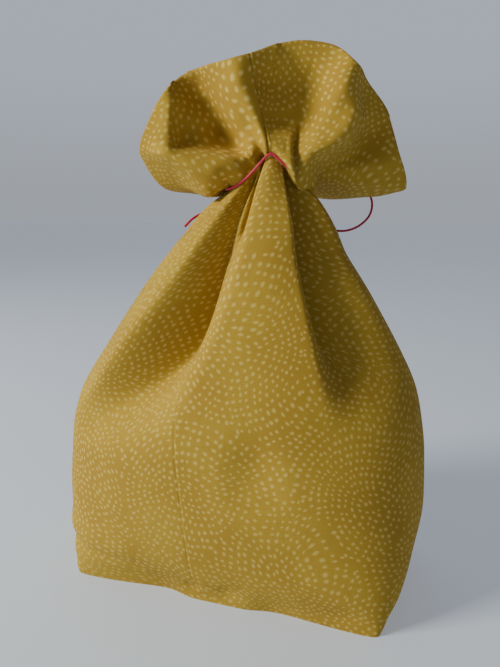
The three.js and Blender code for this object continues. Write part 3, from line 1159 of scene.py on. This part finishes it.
@dataclass(frozen=True)
class PrintedCotton:
    """Mustard cotton with small pale dots laid in rings about scattered middles, sizes in millimetres."""

    ground: Colour = (0.475, 0.312, 0.038, 1.0)
    shade: Colour = (0.4, 0.245, 0.03, 1.0)
    dot: Colour = (0.63, 0.47, 0.125, 1.0)
    ring_pitch: float = 4.2
    ring_shift: float = 0.381
    dot_pitch: float = 3.9
    dot_long: float = 1.1
    dot_wide: float = 1.02
    dot_edge: Pair = (0.25, 1.35)
    least_dots: float = 3.0
    least_size: float = 0.8
    more_size: float = 0.4
    least_stretch: float = 0.76
    more_stretch: float = 0.5
    loose_round: float = 0.4
    loose_outwards: float = 1.2
    middles_apart: float = 72.0
    middles_loose: float = 0.85
    border: float = 0.8
    drift: float = 26.0
    drift_scale: float = 0.016
    cloud_scale: float = 0.02
    cloud_range: Pair = (0.35, 0.65)
    slub_scales: Pair = (1.6, 0.09)
    slub_range: Pair = (0.8, 1.2)
    slub_shade: float = 0.6
    slub_height: float = 1.2
    worn_scale: float = 2.2
    worn_range: Pair = (0.25, 0.6)
    worn_dots: float = 0.72
    wrong_side_dots: float = 0.45
    thread: float = 0.5
    bump: float = 0.45
    bump_metres: float = 0.00014
    roughness: float = 0.88
    sheen: float = 0.02
    sheen_roughness: float = 0.5
    specular: float = 0.12

    def cells(self, graph: NodeGraph, place: Wire, feature: str, output: str) -> Wire:
        """What the cells about the scattered middles give at a place."""
        values = {"Vector": place, "Scale": 1 / self.middles_apart, "Randomness": self.middles_loose}
        return graph.wire("TexVoronoi", values, output, voronoi_dimensions="2D", feature=feature)

    def dots(self, graph: NodeGraph, place: Wire) -> Wire:
        """How much dot colour shows at a place on the flat cloth.

        Args:
            graph: The material's nodes.
            place: Place on the cloth in millimetres.

        Returns:
            A wire from 0 on the ground to 1 on a dot.
        """
        drift = graph.noise(place, self.drift_scale, detail=1.0, output="Color")
        drift = graph.vector("SUBTRACT", drift, (0.5, 0.5, 0.5))
        drift = graph.vector("MULTIPLY", drift, (self.drift, self.drift, 0.0))
        place = graph.vector("ADD", place, drift)
        middle = self.cells(graph, place, "F1", "Position")
        middle_x, middle_y, _ = graph.split(middle)
        x, y, _ = graph.split(graph.vector("SUBTRACT", place, middle))
        reach = (x * x + y * y).math("SQRT")
        turn = y.math("ARCTAN2", x) / TURN
        ring = (reach / self.ring_pitch).math("FLOOR")
        radius = (ring + 0.5) * self.ring_pitch
        around = radius * TURN
        count = (around / self.dot_pitch).math("ROUND").math("MAXIMUM", self.least_dots)
        start = ring * self.ring_shift
        step = turn * count + start
        number = step.math("FLOOR")
        # A dot before the first of its ring is the same as one at the end.
        wrapped = (number + count * 2.0).math("MODULO", count)
        seed = {"Vector": graph.join(ring, wrapped, middle_x), "W": middle_y}
        luck = graph.split(graph.wire("TexWhiteNoise", seed, "Color", noise_dimensions="4D"))
        middle_step = number + 0.5 + (luck[0] - 0.5) * self.loose_round
        across = (step - middle_step) * around / count
        outwards = reach - radius - (luck[1] - 0.5) * self.loose_outwards
        size = luck[2] * self.more_size + self.least_size
        stretch = luck[0] * self.more_stretch + self.least_stretch
        tall = outwards / self.dot_long / size / stretch
        wide = across / self.dot_wide / size * stretch
        mask = graph.spread((tall * tall + wide * wide).math("SQRT"), self.dot_edge, (1.0, 0.0))
        angle = (middle_step - start) / count * TURN
        from_middle = graph.join(angle.math("COSINE") * radius, angle.math("SINE") * radius)
        centre = graph.vector("ADD", middle, from_middle)
        to_border = self.cells(graph, centre, "DISTANCE_TO_EDGE", "Distance")
        return mask * to_border.math("GREATER_THAN", self.border / self.middles_apart)

    def material(self, side: Side) -> bpy.types.Material:
        """The cotton seen from one side.

        Args:
            side: The printed face, or the wrong side with its fainter dots.

        Returns:
            The finished material.
        """
        graph = MaterialGraph(f"printed_cotton_{side.name.lower()}")
        uv = graph.wire("UVMap", {}, uv_map=CLOTH_MAP)
        place = graph.vector("MULTIPLY", uv, (1 / MM, 1 / MM, 0.0))
        cloud = graph.noise(place, self.cloud_scale, detail=3.0)
        fine, long = self.slub_scales
        warp = graph.noise(graph.vector("MULTIPLY", place, (fine, long, 0.0)), 1.0)
        weft = graph.noise(graph.vector("MULTIPLY", place, (long, fine, 0.0)), 1.0)
        slubs = warp + weft
        ground = graph.mix(graph.spread(cloud, self.cloud_range), self.ground, self.shade)
        shaded = graph.spread(slubs, self.slub_range, (0.0, self.slub_shade))
        ground = graph.mix(shaded, ground, self.shade)
        worn = graph.spread(graph.noise(place, self.worn_scale), self.worn_range, (self.worn_dots, 1.0))
        mask = self.dots(graph, place) * worn
        if side is Side.WRONG:
            mask = mask * self.wrong_side_dots
        x, y, _ = graph.split(place)
        waves = TURN / self.thread
        weave = (x * waves).math("SINE") * (y * waves).math("SINE")
        height = weave + slubs * self.slub_height
        return graph.dress({
            "Base Color": graph.mix(mask, ground, self.dot),
            "Roughness": self.roughness,
            "Sheen Weight": self.sheen,
            "Sheen Roughness": self.sheen_roughness,
            "Specular IOR Level": self.specular,
            "Normal": graph.bump(height, self.bump, self.bump_metres),
        })


@dataclass(frozen=True)
class CrimsonCord:
    """Thin crimson cord with a soft shine."""

    colour: Colour = (0.6, 0.004, 0.055, 1.0)
    dark: Colour = (0.4, 0.002, 0.034, 1.0)
    fibre_scale: float = 900.0
    fibre_range: Pair = (0.3, 0.75)
    bump: float = 0.25
    bump_metres: float = 0.0002
    roughness: float = 0.5
    sheen: float = 0.12

    def material(self) -> bpy.types.Material:
        """The cord's finish.

        Returns:
            The finished material.
        """
        graph = MaterialGraph("crimson_cord")
        fibre = graph.noise(graph.wire("TexCoord", {}, "Object"), self.fibre_scale, detail=3.0)
        return graph.dress({
            "Base Color": graph.mix(graph.spread(fibre, self.fibre_range), self.colour, self.dark),
            "Roughness": self.roughness,
            "Sheen Weight": self.sheen,
            "Normal": graph.bump(fibre, self.bump, self.bump_metres),
        })


@dataclass(frozen=True)
class PaleFloor:
    """A plain pale surface under the pouch, in metres."""

    half_size: float = 12.0
    colour: Colour = (0.5, 0.56, 0.66, 1.0)
    glow: Colour = (0.195, 0.21, 0.235, 1.0)
    roughness: float = 0.7

    def build(self) -> None:
        """Lay the floor with its finish."""
        corners = self.half_size * np.array([(-1, -1, 0), (1, -1, 0), (1, 1, 0), (-1, 1, 0)])
        mesh = smooth_mesh("floor", corners, [(0, 1, 2, 3)])
        mesh.materials.append(MaterialGraph("pale_floor").dress({
            "Base Color": self.colour,
            "Roughness": self.roughness,
            "Emission Color": self.glow,
            "Emission Strength": 1.0,
        }))
        floor = placed("floor", mesh)


@dataclass(frozen=True)
class SoftLamp:
    """A square soft light, in metres and watts."""

    place: Triple = (-1.22, -0.9, 0.92)
    size: float = 0.5
    power: float = 35.0
    colour: Triple = (1.0, 0.98, 0.82)

    def build(self, aim: Vector) -> None:
        """Set the light up.

        Args:
            aim: The point that it is turned towards.
        """
        data = bpy.data.lights.new("soft_lamp", "AREA")
        data.size = self.size
        data.energy = self.power
        data.color = self.colour
        lamp = placed("soft_lamp", data)
        lamp.location = self.place
        lamp.rotation_euler = (aim - Vector(self.place)).to_track_quat("-Z", "Y").to_euler()


@dataclass(frozen=True)
class Studio:
    """The plain stage: floor, soft light, the air around and the photograph's camera."""

    camera_place: Triple = (0.1035, -0.3144, 0.2289)
    camera_deg: float = 17.2
    camera_down_deg: float = 12.5
    focal_px: float = 540.0
    frame_px: float = 667.0
    sensor_mm: float = 36.0
    aim: Triple = (0.0, 0.0, 0.15)
    back: Colour = (0.46, 0.505, 0.58, 1.0)
    back_foot: Colour = (0.375, 0.405, 0.455, 1.0)
    back_way: Triple = (-0.3, 0.954, 0.0)
    back_range: Pair = (-0.1, 0.7)
    foot_range: Pair = (0.0, 0.28)
    room: Colour = (0.16, 0.152, 0.16, 1.0)

    def build(self) -> None:
        """Set up the floor, the light, the air and the camera."""
        PaleFloor().build()
        SoftLamp().build(Vector(self.aim))
        self.build_air()
        data = bpy.data.cameras.new("photo_camera")
        data.sensor_width = self.sensor_mm
        data.lens = self.focal_px / self.frame_px * self.sensor_mm
        camera = placed("photo_camera", data)
        camera.location = self.camera_place
        tilt = math.pi / 2 - math.radians(self.camera_down_deg)
        camera.rotation_euler = (tilt, 0, math.radians(self.camera_deg))
        bpy.context.scene.camera = camera

    def build_air(self) -> None:
        """A world that is pale behind the pouch and dimmer on the camera's side."""
        world = bpy.data.worlds.new("studio_air")
        world.use_nodes = True
        graph = NodeGraph(world.node_tree)
        where = graph.wire("TexCoord", {}, "Generated")
        behind = graph.spread(graph.vector("DOT_PRODUCT", where, self.back_way), self.back_range)
        above = graph.spread(graph.split(where)[2], self.foot_range)
        back = graph.mix(above, self.back_foot, self.back)
        graph.feed(graph.tree.nodes["Background"], {"Color": graph.mix(behind, self.room, back)})
        bpy.context.scene.world = world


@dataclass
class GiftPouch:
    """The whole pouch: its cloth and its tie."""

    shape: PouchShape = PouchShape()
    cotton: PrintedCotton = PrintedCotton()
    crimson: CrimsonCord = CrimsonCord()

    def hold(self, piece: bpy.types.Object, node: str) -> None:
        """Ride a piece on the body, in place of a node.

        Args:
            piece: The piece.
            node: Name of the solid that it stands for.
        """
        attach(piece, BODY)
        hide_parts(node)
        LOG.info("%s stands for %s with %d faces", piece.name, node, len(piece.data.polygons))

    def build_cord(self) -> None:
        """Make the tie and log the lengths of its free pieces."""
        cord = TieCord(self.shape)
        finish = self.crimson.material()
        band = cord.tube("cord_band", cord.band_route())
        knot = cord.tube("cord_knot", cord.knot_route(), cord.knot_cord, closed=True)
        held = [(band, "tie_band"), (knot, "tie_knot")]
        free = (
            ("cord_loop", "tie_loop", LOOP_ROUTE, "object"),
            ("cord_end_left", "tie_end_left", LEFT_ROUTE, "bare"),
            ("cord_end_back", "tie_end_back", BACK_ROUTE, "bare"),
        )
        for name, node, places, far_end in free:
            line = cord.smooth_route(places)
            piece = cord.tube(name, line)
            held.append((piece, node))
            length = float(run_lengths(line)[-1]) * MM
            LOG.info("%s is %.0f mm long", name, length / MM)
        for piece, node in held:
            piece.data.materials.append(finish)
            self.hold(piece, node)

    def build_cloth(self) -> None:
        cloth = PouchCloth(self.shape).build()
        for side in Side:
            cloth.data.materials.append(self.cotton.material(side))
        self.hold(cloth, "pouch_cloth")


def main() -> None:
    """Load the frame, set the stage, and build and measure the pouch."""
    logging.basicConfig(level=logging.INFO, format="%(name)s: %(message)s")
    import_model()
    Studio().build()
    pouch = GiftPouch()
    pouch.build_cord()
    pouch.build_cloth()


if __name__ == "__main__":
    main()
